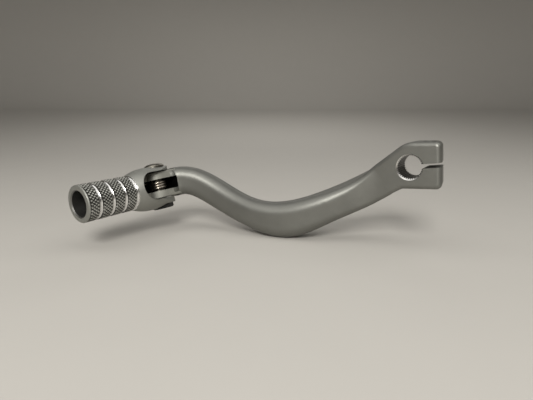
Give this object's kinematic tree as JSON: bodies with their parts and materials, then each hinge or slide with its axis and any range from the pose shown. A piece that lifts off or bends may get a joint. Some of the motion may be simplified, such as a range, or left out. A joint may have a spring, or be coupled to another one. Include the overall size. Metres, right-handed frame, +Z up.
{
  "type": "motorcycle gear shift lever",
  "caption": "Forged gear shift lever with a splined pinch-clamp eye, an S-bent arm and a grooved, knurled toe piece that folds back on a sprung pivot bolt.",
  "frame": {"origin": "centre of the splined bore, half way through the clamp eye", "axes": "+Y along the shift shaft towards the engine, -X forward along the arm towards the toe piece, +Z up"},
  "size_m": [0.1547, 0.103, 0.0532],
  "materials": {
    "forged_aluminium": "bead-blasted satin",
    "turned_aluminium": "bead-blasted satin with bright turned grooves",
    "bolt_steel": "satin",
    "nut_steel": "black oxide",
    "spring_steel": "drawn wire"
  },
  "bodies": {
    "arm": {"lever_arm": "forged_aluminium", "return_spring": "spring_steel"},
    "toe_piece": {"folding_tip": "turned_aluminium", "pivot_bolt": "bolt_steel", "pivot_nut": "nut_steel"}
  },
  "joints": [
    {"name": "tip_fold", "type": "hinge", "parent": "arm", "child": "toe_piece", "pos_m": [-0.1279, -0.0468, -0.0148], "axis": [-0.2688, -0.0142, 0.9631], "range_deg": [0, 90], "stiffness_Nm_per_rad": 0.15, "springref_deg": -34.38, "deforming": ["return_spring"]}
  ]
}
